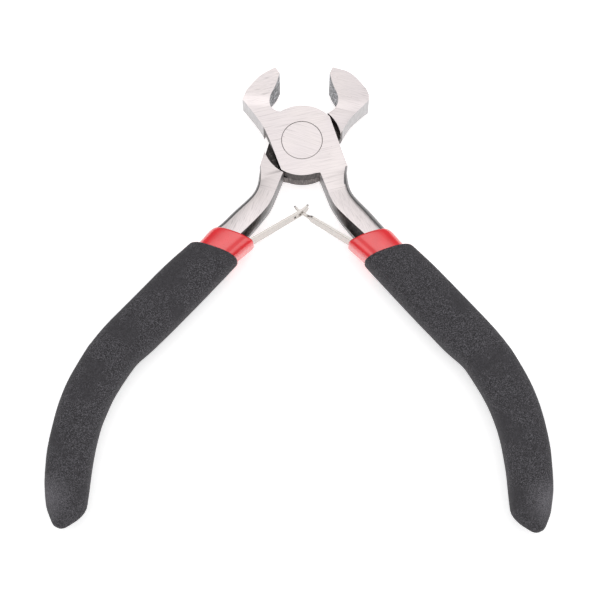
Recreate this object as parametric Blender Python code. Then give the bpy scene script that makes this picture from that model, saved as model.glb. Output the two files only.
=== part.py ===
"""Mini end-cutting nipper, held open by two hooked leaf springs.

The two forged halves cross at a lap joint and turn on one flush rivet. Each half is drawn once, in its
closed pose: jaw towards +Y on the -X side, tang towards -Y on the +X side, lap cheek on the +Z side, pivot
axis on Z. An empty for each half then turns it open; the rear half's empty also turns it over about Y.
World origin: centre of the rivet's rear face. World +Z: out of the front face. World +Y: towards the jaws.
"""

import math

import bmesh
import bpy
from mathutils import Matrix, Vector

MM = 0.001

# ---- driving dimensions, in millimetres and degrees ----
HALF_OPENING = 20.1          # each half, from closed to open
HALF_THICKNESS = 2.8         # mid-plane to joint face
LAP_RADIUS = 8.2             # round cheek of each half
LAP_CLEARANCE = 0.3          # round the cheek, in the other half's shoulder
LAP_GAP = 0.05               # mid-plane to cheek, on each side

RIVET_HEAD_RADIUS = 4.4
RIVET_SHANK_RADIUS = 2.6
RIVET_HEAD_DEPTH = 1.7       # depth of the conical head
RIVET_EDGE = 0.08            # broken edge round the flush face
RIVET_FIT = 0.06             # running clearance, on radius and along the cone

FLARE_BLEND = 3.0            # length of the hollow that leads into a jaw's thickening slope

RIM_Y = -25.0                # open end of the red sleeves
GRIP_Y = -29.9               # open end of the outer grips
CORE_END_Y = -84.0           # end of the steel inside the grips
SLEEVE_END_Y = -88.0

HANDLE_ANGLE = 22.3          # slope of the handle's straight stretch
BEND_START = (18.35, -53.4)  # where the straight stretch runs into the bow
BOW_RADIUS = 43.75
BOW_MIDDLE_Y = -70.0
BOW_END_Y = -84.0

PARTING_HALF = 0.9           # half height of the forging's parting wall
OUTER_ROUND_FOOT = 0.8       # where the tang's rounded outer edge ends, above the mid-plane

SLEEVE_WALL = 0.65
SLEEVE_FIT = 0.3
SLEEVE_RIM_ROUND = 0.3
SLEEVE_END_ROUND = 1.2
SLEEVE_FLOOR = 0.6           # closed end of the bore below the end of the steel
GRIP_FIT = 0.25
GRIP_LIP_ROUND = 0.3
SLEEVE_ROUNDNESS = 3.0       # superellipse exponents of the level sections
BORE_ROUNDNESS = 5.0
GRIP_ROUNDNESS = 2.5

LEAF_THICKNESS = 0.5
LEAF_ROOT = (2.45, -25.1)    # bending line, where the strip leaves the sleeve
LEAF_HEADING = 127.2
LEAF_SPAN = 13.0             # bending line to the crossing of the two leaves
LEAF_ROOT_WIDTH = 3.6
LEAF_TIP_WIDTH = 2.8
LEAF_HOOK = 2.1              # length past the crossing
LEAF_HOOK_RISE = 24.0        # angle through which the hook curls
LEAF_HOOK_BREAK = 0.25       # broken corners at the hook's end
FORK_START = 11.4
FORK_SLOT_HALF = 0.75
TONGUE_HALF = 0.45
FOOT_BEND_Y = -27.3
FOOT_END_Y = -33.5
FOOT_OFFSET = 0.6            # strip's middle plane from the tang's parting wall
FOOT_BREAK = 0.06            # between the foot and the leaf at the bending line

SPRING_RIVET_Y = -30.6
SPRING_RIVET_RADIUS = 0.7
SPRING_RIVET_HEAD = 1.2
SPRING_RIVET_FIT = 0.12
SPRING_RIVET_DEPTH = 2.2     # into the tang
SPRING_RIVET_CAP = 0.35      # height of the head over the strip
SPRING_RIVET_DOME = 0.6      # share of the head, across and up, where its top is broken
OVERRUN = 3.0                # sections of the core start this far from where its shape changes

ROUND_STEPS = 64
RING_STEPS = 28
SMALL_ROUND_STEPS = 20
SHARP_ANGLE = 32.0           # edges sharper than this shade as edges
CUT_TOLERANCE = 1e-5
EYE_LAP = 2.0                # degrees of the cheek's rim left before the eye

# ---- hand-picked shapes, in millimetres ----
# Jaw outline: working corners, the hollow behind the edge, the ground crown and the outer side. The jaw
# thickens along "flare_heading" (degrees from +X) beyond "flare_start". "shoulder" is the cheek's flat on
# the tang's side. "waist" moves the tang's outer wall at its narrowest, "face_inset" scales its facets.
FRONT_SHAPE = {
    "tip": (-0.10, 16.95),
    "edge": (0.40, 15.50),
    "eye": [(-1.20, 13.60), (-3.00, 12.00), (-3.68, 10.50), (-3.50, 9.20), (-2.50, 8.05)],
    "crown": [(-3.85, 16.45), (-7.50, 14.85)],
    "side": [(-8.95, 13.40), (-8.25, 11.20), (-7.45, 8.60), (-6.80, 5.70), (-6.55, 2.50)],
    "flare_heading": 68.0,
    "flare_start": 7.4,
    "flare_slope": 0.45,
    "shoulder": [(7.20, -8.50), (7.55, 3.30)],
    "waist": 0.30,
    "face_inset": 1.25,
}
REAR_SHAPE = {
    "tip": (-0.65, 17.20),
    "edge": (-0.45, 15.90),
    "eye": [(-1.95, 14.00), (-3.70, 12.30), (-4.20, 10.90), (-4.05, 9.60), (-3.20, 8.15)],
    "crown": [(-4.65, 17.43), (-8.60, 15.85), (-9.95, 14.80)],
    "side": [(-10.38, 13.75), (-9.10, 11.10), (-7.95, 8.30), (-7.40, 5.20), (-6.95, 2.50)],
    "flare_heading": 75.0,
    "flare_start": 7.5,
    "flare_slope": 0.42,
    "shoulder": [(6.35, -8.50), (7.30, 3.30)],
    "waist": -0.40,
    "face_inset": 0.75,
}
CHEEK_FLAT_END = (-6.50, -5.00)
NOTCH = (1.15, -8.45)
SEAT_Y = -8.9                # where the tang's sections take over from the cheek

# Tang: distance down, inner wall, outer wall, inner facet's width, outer round's width, share of "waist".
TANG_STATIONS = [
    (-7.6, 1.15, 6.90, 0.03, 0.05, 1.0),
    (-8.9, 1.13, 6.65, 0.05, 0.20, 1.0),
    (-10.6, 1.10, 6.30, 0.08, 0.65, 1.0),
    (-12.7, 1.10, 5.90, 0.10, 0.95, 1.0),
    (-14.8, 1.12, 6.00, 0.14, 1.20, 0.9),
    (-17.0, 1.25, 6.80, 0.35, 1.50, 0.8),
    (-20.0, 1.90, 8.15, 0.85, 1.60, 0.6),
    (-23.5, 3.05, 9.50, 1.25, 1.60, 0.3),
    (-25.0, 3.65, 10.21, 1.35, 1.60, 0.0),
]
CORE_HALF_WIDTH = [(-25.0, 3.28), (-29.6, 2.95), (-40.0, 2.8), (-84.0, 2.1)]
CORE_EDGES = (1.35, 1.60)    # inner facet's and outer round's width inside the sleeve
# Sleeve and grip: (distance down, value) rows. "Spare" is the room between the tang's inner wall and the
# sleeve, where the spring's foot lies: to the sleeve's skin, and to its bore.
SLEEVE_SPARE = [(-25.0, 2.25), (-29.9, 2.05), (-36.0, 1.9), (-44.0, 0.95)]
SLEEVE_HALF_DEPTH = [(-25.0, 3.95), (-29.3, 4.05), (-84.0, 3.9)]
BORE_SPARE = [(-25.0, 1.65), (-29.9, 1.5), (-35.0, 1.45), (-42.0, SLEEVE_FIT)]
# Grip: (distance down, inner side, outer side, half depth), with a step where the palm swell ends.
GRIP_STATIONS = [
    (-30.2, 3.25, 14.40, 4.6),
    (-36.0, 5.39, 16.90, 4.7),
    (-44.0, 8.53, 20.20, 4.7),
    (-52.0, 11.73, 23.40, 4.7),
    (-55.0, 13.10, 24.45, 4.7),
    (-58.0, 14.65, 25.30, 4.7),
    (-61.0, 15.55, 25.92, 4.7),
    (-66.0, 16.35, 26.52, 4.7),
    (-71.0, 16.57, 26.60, 4.7),
    (-76.0, 16.20, 26.12, 4.7),
    (-82.0, 14.99, 24.97, 4.7),
    (-88.0, 13.35, 23.05, 4.65),
    (-90.4, 12.70, 22.05, 4.45),
    (-92.0, 12.80, 21.25, 4.05),
    (-93.5, 13.45, 20.40, 3.4),
    (-94.8, 14.35, 19.30, 2.5),
    (-95.9, 15.20, 18.25, 1.5),
    (-96.5, 16.05, 17.35, 0.7),
]


# ---- small helpers ----
def interpolate(table, y):
    """Value at y of a table of (y, value) rows that run downwards."""
    for (y0, v0), (y1, v1) in zip(table, table[1:]):
        if y >= y1:
            share = min(max((y0 - y) / (y0 - y1), 0.0), 1.0)
            return v0 + share * (v1 - v0)
    return table[-1][1]


def curve_through(points, steps=6):
    """Smooth curve through the points (Catmull-Rom), ends included."""
    first = [2 * a - b for a, b in zip(points[0], points[1])]
    last = [2 * a - b for a, b in zip(points[-1], points[-2])]
    knots = [first, *points, last]
    curve = []
    for p0, p1, p2, p3 in zip(knots, knots[1:], knots[2:], knots[3:]):
        for k in range(steps):
            t = k / steps
            curve.append(tuple(
                0.5 * (2 * b + (c - a) * t + (2 * a - 5 * b + 4 * c - d) * t * t
                       + (3 * b - a - 3 * c + d) * t ** 3)
                for a, b, c, d in zip(p0, p1, p2, p3)))
    curve.append(tuple(points[-1]))
    return curve


def arc(radius, start, end, steps):
    """Points on a circle about the pivot axis, from start to end in degrees."""
    angles = [math.radians(start + (end - start) * k / steps) for k in range(steps + 1)]
    return [(radius * math.cos(a), radius * math.sin(a)) for a in angles]


def heading(point):
    return math.degrees(math.atan2(point[1], point[0]))


def centre_x(y):
    """Middle of the handle: a straight stretch, a bow, and a straight end."""
    if y >= BEND_START[1]:
        return BEND_START[0] + (BEND_START[1] - y) * math.tan(math.radians(HANDLE_ANGLE))
    bow_x = BEND_START[0] - BOW_RADIUS * math.cos(math.asin((BEND_START[1] - BOW_MIDDLE_Y) / BOW_RADIUS))
    if y >= BOW_END_Y:
        return bow_x + math.sqrt(BOW_RADIUS ** 2 - (y - BOW_MIDDLE_Y) ** 2)
    drop = BOW_END_Y - BOW_MIDDLE_Y
    run = math.sqrt(BOW_RADIUS ** 2 - drop ** 2)
    return bow_x + run + (y - BOW_END_Y) * -drop / run


def new_object(name, mesh_data, material, parent=None):
    """Take a bmesh in millimetres, and make it a named object in metres."""
    bmesh.ops.recalc_face_normals(mesh_data, faces=mesh_data.faces)
    if mesh_data.calc_volume(signed=True) < 0:
        bmesh.ops.reverse_faces(mesh_data, faces=mesh_data.faces)
    bmesh.ops.scale(mesh_data, vec=(MM, MM, MM), verts=mesh_data.verts)
    mesh = bpy.data.meshes.new(name)
    mesh_data.to_mesh(mesh)
    mesh_data.free()
    obj = bpy.data.objects.new(name, mesh)
    bpy.context.scene.collection.objects.link(obj)
    if material is not None:
        mesh.materials.append(material)
        mesh.shade_smooth()
        mesh.set_sharp_from_angle(angle=math.radians(SHARP_ANGLE))
    obj.parent = parent
    return obj


def new_cutter(name, mesh_data, parent):
    cutter = new_object(name, mesh_data, None, parent)
    cutter.hide_render = True
    cutter.display_type = "WIRE"
    return cutter


def add_boolean(obj, tool, operation):
    modifier = obj.modifiers.new(tool.name, "BOOLEAN")
    modifier.operation = operation
    modifier.solver = "EXACT"
    modifier.object = tool


def prism(outline, low, high):
    """Outline in XY, extruded from low to high."""
    data = bmesh.new()
    base = data.faces.new([data.verts.new((x, y, low)) for x, y in outline])
    raised = bmesh.ops.extrude_face_region(data, geom=[base])["geom"]
    tops = [v for v in raised if isinstance(v, bmesh.types.BMVert)]
    bmesh.ops.translate(data, vec=(0, 0, high - low), verts=tops)
    return data


def loft(rings):
    """Closed body through rings of equal length, capped at both ends."""
    data = bmesh.new()
    rows = [[data.verts.new(p) for p in ring] for ring in rings]
    count = len(rows[0])
    for row, following in zip(rows, rows[1:]):
        for k in range(count):
            n = (k + 1) % count
            data.faces.new((row[k], row[n], following[n], following[k]))
    data.faces.new(rows[0])
    data.faces.new(rows[-1])
    return data


def turned(profile, steps=ROUND_STEPS):
    """Body of revolution about Z from (radius, z) points off the axis, capped flat at both ends."""
    rings = []
    for radius, z in profile:
        angles = [math.tau * k / steps for k in range(steps)]
        rings.append([(radius * math.cos(a), radius * math.sin(a), z) for a in angles])
    return loft(rings)


def oval(x, y, half_width, half_depth, roundness, steps=RING_STEPS):
    """Level ring of a handle: a superellipse in the XZ plane."""
    ring = []
    for k in range(steps):
        a = math.tau * k / steps
        c = math.copysign(abs(math.cos(a)) ** (2 / roundness), math.cos(a))
        s = math.copysign(abs(math.sin(a)) ** (2 / roundness), math.sin(a))
        ring.append((x + half_width * c, y, half_depth * s))
    return ring


def levels(start, end, steps):
    return [start + (end - start) * k / steps for k in range(steps + 1)]


# ---- materials ----
def make_material(name, colour, roughness, metallic):
    material = bpy.data.materials.new(name)
    material.use_nodes = True
    shader = material.node_tree.nodes["Principled BSDF"]
    shader.inputs["Base Color"].default_value = (*colour, 1.0)
    shader.inputs["Roughness"].default_value = roughness
    shader.inputs["Metallic"].default_value = metallic
    return material


def make_materials():
    return {
        "steel": make_material("ground_steel", (0.76, 0.73, 0.72), 0.38, 1.0),
        "rivet": make_material("rivet_steel", (0.80, 0.77, 0.76), 0.36, 1.0),
        "spring": make_material("spring_steel", (0.82, 0.79, 0.76), 0.30, 1.0),
        "red": make_material("red_vinyl", (0.78, 0.03, 0.04), 0.28, 0.0),
        "black": make_material("black_rubber", (0.045, 0.045, 0.05), 0.85, 0.0),
    }


# ---- forged halves ----
def half_outline(shape):
    """Cheek and jaw of one half, counter-clockwise from the jaw's tip."""
    crown = curve_through([shape["tip"], *shape["crown"]])
    side = curve_through(shape["side"], 5)
    bottom = arc(LAP_RADIUS, heading(CHEEK_FLAT_END) + 360.0, 270.0, 12)
    low, high = shape["shoulder"]
    seat = [NOTCH, (NOTCH[0], SEAT_Y), (low[0], SEAT_Y)]
    top_end = heading(shape["eye"][-1]) - EYE_LAP
    cheek_top = arc(LAP_RADIUS, heading(high), top_end, 16)
    eye = curve_through([shape["edge"], *shape["eye"]], 5)
    return [*crown, *side, *bottom, *seat, low, high, *cheek_top, *reversed(eye)]


def flare(reach, slope):
    """Factor on the jaw's half thickness, at a distance past the start of its slope."""
    if reach <= 0:
        return 1.0
    if reach < FLARE_BLEND:
        growth = slope * reach * reach / (2 * FLARE_BLEND)
    else:
        growth = slope * (reach - FLARE_BLEND / 2)
    return 1.0 + growth / HALF_THICKNESS


def half_blank(shape):
    """Cheek and jaw, with the jaw thickened towards its cutting edge."""
    data = prism(half_outline(shape), -HALF_THICKNESS, HALF_THICKNESS)
    angle = math.radians(shape["flare_heading"])
    direction = Vector((math.cos(angle), math.sin(angle), 0.0))
    start = shape["flare_start"]
    for along in levels(start, start + FLARE_BLEND, 5):
        geometry = [*data.verts, *data.edges, *data.faces]
        bmesh.ops.bisect_plane(data, geom=geometry, dist=CUT_TOLERANCE, plane_co=direction * along,
                               plane_no=direction)
    eye_x = shape["eye"][-1][0]
    for vertex in data.verts:
        if vertex.co.x < eye_x or vertex.co.y > LAP_RADIUS + 1.0:
            vertex.co.z *= flare(vertex.co.dot(direction) - start, shape["flare_slope"])
    return data


def core_station(y):
    """Tang station inside the sleeve and grip, in the same order as TANG_STATIONS."""
    half = interpolate(CORE_HALF_WIDTH, y)
    x = centre_x(y)
    return (y, x - half, x + half, *CORE_EDGES, 0.0)


def tang_section(station, shape):
    """Level section of a tang: flat faces, sloped inner facets and rounded outer edges."""
    y, inner, outer, facet, rounding, waist = station
    outer += waist * shape["waist"]
    inner_face = inner + facet * shape["face_inset"]
    outer_face = outer - rounding * shape["face_inset"]
    rounds = []
    for degrees in (0, 18, 36, 54, 72, 90):
        a = math.radians(degrees)
        x = outer_face + (outer - outer_face) * math.sin(a)
        z = OUTER_ROUND_FOOT + (HALF_THICKNESS - OUTER_ROUND_FOOT) * math.cos(a)
        rounds.append((x, z))
    upper = [(inner, PARTING_HALF), (inner_face, HALF_THICKNESS), *rounds]
    lower = [(x, -z) for x, z in reversed(upper)]
    return [(x, y, z) for x, z in [*upper, *lower]]


def tang_blank(shape):
    """Tang from the cheek down to its end inside the grip."""
    stations = curve_through(TANG_STATIONS, 3)
    stations += [core_station(y) for y in levels(RIM_Y - OVERRUN, BEND_START[1], 3)]
    stations += [core_station(y) for y in levels(BEND_START[1] - OVERRUN, CORE_END_Y, 9)]
    return loft([tang_section(station, shape) for station in stations])


def lap_cutter():
    """Seat for the other half's cheek, from just over the mid-plane down."""
    radius = LAP_RADIUS + LAP_CLEARANCE
    return turned([(radius, LAP_GAP), (radius, -2 * HALF_THICKNESS)])


def bore_cutter():
    """Bore for the rivet, with the countersink that takes its head."""
    shank = RIVET_SHANK_RADIUS + RIVET_FIT
    head = RIVET_HEAD_RADIUS + RIVET_FIT
    throat = HALF_THICKNESS - RIVET_HEAD_DEPTH - RIVET_FIT
    mouth = HALF_THICKNESS - RIVET_EDGE - RIVET_FIT
    return turned([(shank, -HALF_THICKNESS), (shank, throat), (head, mouth), (head, 2 * HALF_THICKNESS)])


def strip_wall_point(y, distance):
    """Point at a distance in front of the tang's parting wall, and the wall's direction downwards."""
    here = Vector((core_station(y)[1], y))
    below = Vector((core_station(y - 1.0)[1], y - 1.0))
    down = (below - here).normalized()
    outward = Vector((down.y, -down.x))
    return here + outward * distance, down


def spring_rivet_matrix():
    """Frame of the small rivet: origin on the tang's wall, +Z out of the wall."""
    point, down = strip_wall_point(SPRING_RIVET_Y, 0.0)
    outward = Vector((down.y, -down.x, 0.0))
    turn = outward.to_track_quat("Z", "Y").to_matrix().to_4x4()
    return Matrix.Translation((point.x, point.y, 0.0)) @ turn


def spring_rivet_hole():
    radius = SPRING_RIVET_RADIUS + SPRING_RIVET_FIT
    floor = -SPRING_RIVET_DEPTH - SPRING_RIVET_FIT
    data = turned([(radius, floor), (radius, SPRING_RIVET_DEPTH)], SMALL_ROUND_STEPS)
    bmesh.ops.transform(data, matrix=spring_rivet_matrix(), verts=data.verts)
    return data


def build_half(name, shape, materials, frame):
    half = new_object(name, half_blank(shape), materials["steel"], frame)
    tools = [("tang", tang_blank(shape), "UNION"), ("lap", lap_cutter(), "DIFFERENCE"),
             ("bore", bore_cutter(), "DIFFERENCE"), ("spring_rivet_hole", spring_rivet_hole(), "DIFFERENCE")]
    for tool, data, operation in tools:
        add_boolean(half, new_cutter(f"{name}_{tool}", data, frame), operation)
    return half


# ---- fasteners ----
def build_pivot_rivet(materials, frame):
    face = HALF_THICKNESS
    throat = HALF_THICKNESS - RIVET_HEAD_DEPTH
    upper = [(RIVET_SHANK_RADIUS, throat), (RIVET_HEAD_RADIUS, face - RIVET_EDGE),
             (RIVET_HEAD_RADIUS - RIVET_EDGE, face)]
    lower = [(radius, -z) for radius, z in reversed(upper)]
    return new_object("pivot_rivet", turned([*lower, *upper]), materials["rivet"], frame)


def build_spring_rivet(name, materials, frame):
    strip_top = FOOT_OFFSET + LEAF_THICKNESS / 2
    seat = strip_top + SPRING_RIVET_FIT
    profile = [(SPRING_RIVET_RADIUS, -SPRING_RIVET_DEPTH), (SPRING_RIVET_RADIUS, seat),
               (SPRING_RIVET_HEAD, seat), (SPRING_RIVET_HEAD, seat + SPRING_RIVET_DOME * SPRING_RIVET_CAP),
               (SPRING_RIVET_DOME * SPRING_RIVET_HEAD, seat + SPRING_RIVET_CAP)]
    rivet = new_object(name, turned(profile, SMALL_ROUND_STEPS), materials["rivet"], frame)
    place = spring_rivet_matrix()
    place.translation *= MM
    rivet.matrix_local = place
    return rivet


# ---- leaf springs ----
def leaf_outline(forked):
    """Flat shape of a leaf, length along X and width along Y."""
    root = LEAF_ROOT_WIDTH / 2
    neck = root + (LEAF_TIP_WIDTH / 2 - root) * FORK_START / LEAF_SPAN
    tip = LEAF_TIP_WIDTH / 2
    end = LEAF_SPAN + LEAF_HOOK
    if forked:
        slot = FORK_SLOT_HALF
        side = [(FOOT_BREAK, root), (FORK_START, neck), (end - LEAF_HOOK_BREAK, tip),
                (end, tip - LEAF_HOOK_BREAK), (end, slot)]
        throat = [(FORK_START, slot), (FORK_START - slot / 2, slot / 2)]
        half = [*side, *throat]
    else:
        half = [(FOOT_BREAK, root), (FORK_START - 1.0, neck), (FORK_START, TONGUE_HALF),
                (end - LEAF_HOOK_BREAK, TONGUE_HALF), (end, TONGUE_HALF - LEAF_HOOK_BREAK)]
    return [(x, -y) for x, y in half] + [(x, y) for x, y in reversed(half)]


def bend_leaf(data):
    """Stand the strip on edge and curl its hook, bending line at the origin."""
    radius = LEAF_HOOK / math.radians(LEAF_HOOK_RISE)
    for vertex in data.verts:
        length, across, lift = vertex.co
        past = length - LEAF_SPAN
        if past <= 0:
            vertex.co = (length, lift, across)
        else:
            a = past / radius
            middle = Vector((LEAF_SPAN + radius * math.sin(a), -radius * (1 - math.cos(a)), across))
            vertex.co = middle + lift * Vector((math.sin(a), math.cos(a), 0.0))


def build_leaf(name, forked, materials, frame):
    half = LEAF_THICKNESS / 2
    data = prism(leaf_outline(forked), -half, half)
    for x in [FORK_START / 2, *levels(LEAF_SPAN, LEAF_SPAN + LEAF_HOOK, 5)[:-1]]:
        geometry = [*data.verts, *data.edges, *data.faces]
        bmesh.ops.bisect_plane(data, geom=geometry, dist=CUT_TOLERANCE, plane_co=(x, 0, 0),
                               plane_no=(1, 0, 0))
    bend_leaf(data)
    leaf = new_object(name, data, materials["spring"], frame)
    leaf.location = (LEAF_ROOT[0] * MM, LEAF_ROOT[1] * MM, 0.0)
    leaf.rotation_euler.z = math.radians(LEAF_HEADING)
    return leaf


def build_spring_foot(name, materials, frame):
    """Clamped end of the strip: leaves the wall inside the sleeve and runs up to the bending line."""
    up = Vector((math.cos(math.radians(LEAF_HEADING)), math.sin(math.radians(LEAF_HEADING))))
    bend, _ = strip_wall_point(FOOT_BEND_Y, FOOT_OFFSET)
    end, _ = strip_wall_point(FOOT_END_Y, FOOT_OFFSET)
    top = Vector(LEAF_ROOT) - up * FOOT_BREAK
    path = [top, bend, end]
    sides = ([], [])
    for k, point in enumerate(path):
        along = (path[min(k + 1, 2)] - path[max(k - 1, 0)]).normalized()
        across = Vector((-along.y, along.x)) * LEAF_THICKNESS / 2
        sides[0].append(tuple(point + across))
        sides[1].append(tuple(point - across))
    outline = [*sides[0], *reversed(sides[1])]
    data = prism(outline, -LEAF_ROOT_WIDTH / 2, LEAF_ROOT_WIDTH / 2)
    foot = new_object(name, data, materials["spring"], frame)
    hole = new_cutter(f"{name}_hole", spring_rivet_hole(), frame)
    add_boolean(foot, hole, "DIFFERENCE")
    return foot


# ---- sleeves and grips ----
def sleeve_sides(y):
    """Inner side, outer side and half depth of the red sleeve's outer skin at y."""
    _, inner, outer, *_ = core_station(max(y, CORE_END_Y))
    shift = centre_x(y) - centre_x(max(y, CORE_END_Y))
    low = inner + shift - interpolate(SLEEVE_SPARE, y)
    high = outer + shift + SLEEVE_WALL + SLEEVE_FIT
    return low, high, interpolate(SLEEVE_HALF_DEPTH, y)


def bore_sides(y):
    """The sleeve's bore: close round the tang, roomier where the spring's foot lies."""
    _, inner, outer, *_ = core_station(y)
    return inner - interpolate(BORE_SPARE, y), outer + SLEEVE_FIT, HALF_THICKNESS + SLEEVE_FIT


def ring_between(y, sides, inset, roundness):
    """Level ring that fits the sides, drawn in all round by the inset."""
    low, high, depth = sides
    return oval((low + high) / 2, y, (high - low) / 2 - inset, depth - inset, roundness)


def handle_levels(start, end, straight_steps, bow_steps):
    """Levels down the handle, through its straight stretch and its bow."""
    bow = levels(BEND_START[1], end, bow_steps)
    return [*levels(start, BEND_START[1], straight_steps), *bow[1:]]


def build_sleeve(name, materials, frame):
    skin = [ring_between(RIM_Y, sleeve_sides(RIM_Y), SLEEVE_RIM_ROUND, SLEEVE_ROUNDNESS)]
    for y in [RIM_Y - SLEEVE_RIM_ROUND, *handle_levels(GRIP_Y, SLEEVE_END_Y, 5, 10)]:
        skin.append(ring_between(y, sleeve_sides(y), 0.0, SLEEVE_ROUNDNESS))
    end_y = SLEEVE_END_Y - SLEEVE_END_ROUND
    skin.append(ring_between(end_y, sleeve_sides(SLEEVE_END_Y), SLEEVE_END_ROUND, SLEEVE_ROUNDNESS))
    bore = []
    for y in [RIM_Y, *handle_levels(GRIP_Y, CORE_END_Y - SLEEVE_FLOOR, 5, 9)]:
        bore.append(ring_between(y, bore_sides(y), 0.0, BORE_ROUNDNESS))
    return new_object(name, loft([*reversed(skin), *bore]), materials["red"], frame)


def build_grip(name, materials, frame):
    rim = GRIP_STATIONS[0]
    skin = [ring_between(GRIP_Y, rim[1:], GRIP_LIP_ROUND, GRIP_ROUNDNESS)]
    for y, *sides in curve_through(GRIP_STATIONS, 3):
        skin.append(ring_between(y, sides, 0.0, GRIP_ROUNDNESS))
    bore = []
    for y in handle_levels(GRIP_Y, SLEEVE_END_Y - SLEEVE_END_ROUND - GRIP_FIT, 5, 10):
        bore.append(ring_between(y, sleeve_sides(y), -GRIP_FIT, SLEEVE_ROUNDNESS))
    return new_object(name, loft([*reversed(skin), *bore]), materials["black"], frame)


# ---- assembly ----
def clear_scene():
    for obj in list(bpy.data.objects):
        bpy.data.objects.remove(obj, do_unlink=True)


def half_frame(name, opening, turned_over):
    """Empty on the pivot axis that carries one half and all that is fixed to it."""
    frame = bpy.data.objects.new(name, None)
    bpy.context.scene.collection.objects.link(frame)
    matrix = Matrix.Rotation(math.radians(opening), 4, "Z")
    if turned_over:
        matrix = matrix @ Matrix.Rotation(math.pi, 4, "Y")
    frame.matrix_world = Matrix.Translation((0.0, 0.0, HALF_THICKNESS * MM)) @ matrix
    return frame


def build_side(half, side, shape, forked, materials, frame):
    """One half with the leaf spring, sleeve and grip on its tang."""
    build_half(half, shape, materials, frame)
    build_leaf(f"{side}_leaf_spring", forked, materials, frame)
    build_spring_foot(f"{side}_spring_foot", materials, frame)
    build_spring_rivet(f"{side}_spring_rivet", materials, frame)
    build_sleeve(f"{side}_sleeve", materials, frame)
    build_grip(f"{side}_grip", materials, frame)


def main():
    clear_scene()
    materials = make_materials()
    front = half_frame("front_frame", HALF_OPENING, False)
    rear = half_frame("rear_frame", -HALF_OPENING, True)
    build_side("front_half", "right", FRONT_SHAPE, False, materials, front)
    build_side("rear_half", "left", REAR_SHAPE, True, materials, rear)
    build_pivot_rivet(materials, rear)


main()
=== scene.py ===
"""Looks of a mini end-cutting nipper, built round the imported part.

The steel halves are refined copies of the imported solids, with broken edges and one finish for each way the
steel is worked. The leaf strips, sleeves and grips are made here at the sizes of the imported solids. Shapes
are drawn in millimetres in the frame of one closed half (jaw +Y, tang -Y and +X, pivot on Z), and placed by
that half's matrix.
"""

import math

import bmesh
import bpy
from bpy.props import FloatProperty, FloatVectorProperty, PointerProperty
from mathutils import Matrix, Vector, noise


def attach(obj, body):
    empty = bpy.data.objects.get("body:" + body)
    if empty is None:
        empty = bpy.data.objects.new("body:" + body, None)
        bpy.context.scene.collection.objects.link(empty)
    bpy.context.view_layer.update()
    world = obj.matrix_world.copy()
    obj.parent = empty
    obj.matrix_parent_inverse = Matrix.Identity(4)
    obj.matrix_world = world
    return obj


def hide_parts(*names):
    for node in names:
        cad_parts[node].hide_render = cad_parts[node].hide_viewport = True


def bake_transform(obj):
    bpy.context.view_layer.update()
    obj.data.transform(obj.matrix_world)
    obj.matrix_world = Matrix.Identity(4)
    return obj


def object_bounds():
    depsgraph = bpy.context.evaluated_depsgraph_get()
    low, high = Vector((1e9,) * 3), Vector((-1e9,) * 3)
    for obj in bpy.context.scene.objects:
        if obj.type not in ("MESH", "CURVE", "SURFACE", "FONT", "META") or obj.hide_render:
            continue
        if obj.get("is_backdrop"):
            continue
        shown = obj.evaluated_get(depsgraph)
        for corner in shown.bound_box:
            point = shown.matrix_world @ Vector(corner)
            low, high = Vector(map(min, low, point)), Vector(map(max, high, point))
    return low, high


bl_info = {
    "name": "End Nipper Looks",
    "version": (1, 0, 0),
    "blender": (4, 5, 0),
    "location": "3D View > Sidebar > Nipper",
    "description": "Ground steel, leaf strips, dipped sleeves and grained grips for an end-cutting nipper",
    "category": "Object",
}

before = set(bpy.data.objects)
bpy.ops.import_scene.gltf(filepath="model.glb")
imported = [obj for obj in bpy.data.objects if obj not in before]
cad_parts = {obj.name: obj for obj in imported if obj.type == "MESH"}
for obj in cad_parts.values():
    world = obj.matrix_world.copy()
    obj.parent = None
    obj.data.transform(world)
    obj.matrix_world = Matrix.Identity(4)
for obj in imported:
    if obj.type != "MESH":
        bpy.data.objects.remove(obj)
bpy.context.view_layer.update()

MM = 0.001
HALF_OPENING = 20.1          # degrees, each half from closed to open
HALF_THICKNESS = 2.8         # mid-plane of the joint to its ground faces
LAP_RADIUS = 8.2             # of the cheeks and the seats that they turn in
JAW_START = 6.2              # above this height on a half, walls belong to the jaw
TANG_START = -8.9
TANG_FACE_START = -13.5      # below this, the lines fan across the tang

# Which finish a face of a half takes. Flatness is the share of its normal along the pivot.
SEAT_FLATNESS = 0.8          # least flatness of a lap seat
SEAT_HEIGHT = 1.0            # lap seats lie this close to the mid-plane
FACE_FLATNESS = 0.86
TANG_FACE_FLATNESS = 0.965
SHOULDER_FLATNESS = 0.3
SHOULDER_SPARE = 0.6         # how far past the lap's radius the shoulders count
SHOULDER_TOP = JAW_START + 2.0
CHEEK_SPARE = 0.45           # the same for the cheeks' walls
JAW_WALL_LEAN = 0.25         # least share of the normal towards the other jaw
JAW_WALL_SPAN = (-6.0, 1.0)  # the walls between the jaws lie between these
TANG_INSIDE_LEAN = -0.15     # most of the normal across the tang, on its inner walls
PARTING_FLATNESS = 0.07      # the trimmed strip stands squarer than the facets beside it

WELD = 0.000002              # m, points closer than this are one
COPLANAR = 0.6               # degrees
STEEL_BEVEL_LIMIT = 34.0     # degrees, blunter edges stay as they are

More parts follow.
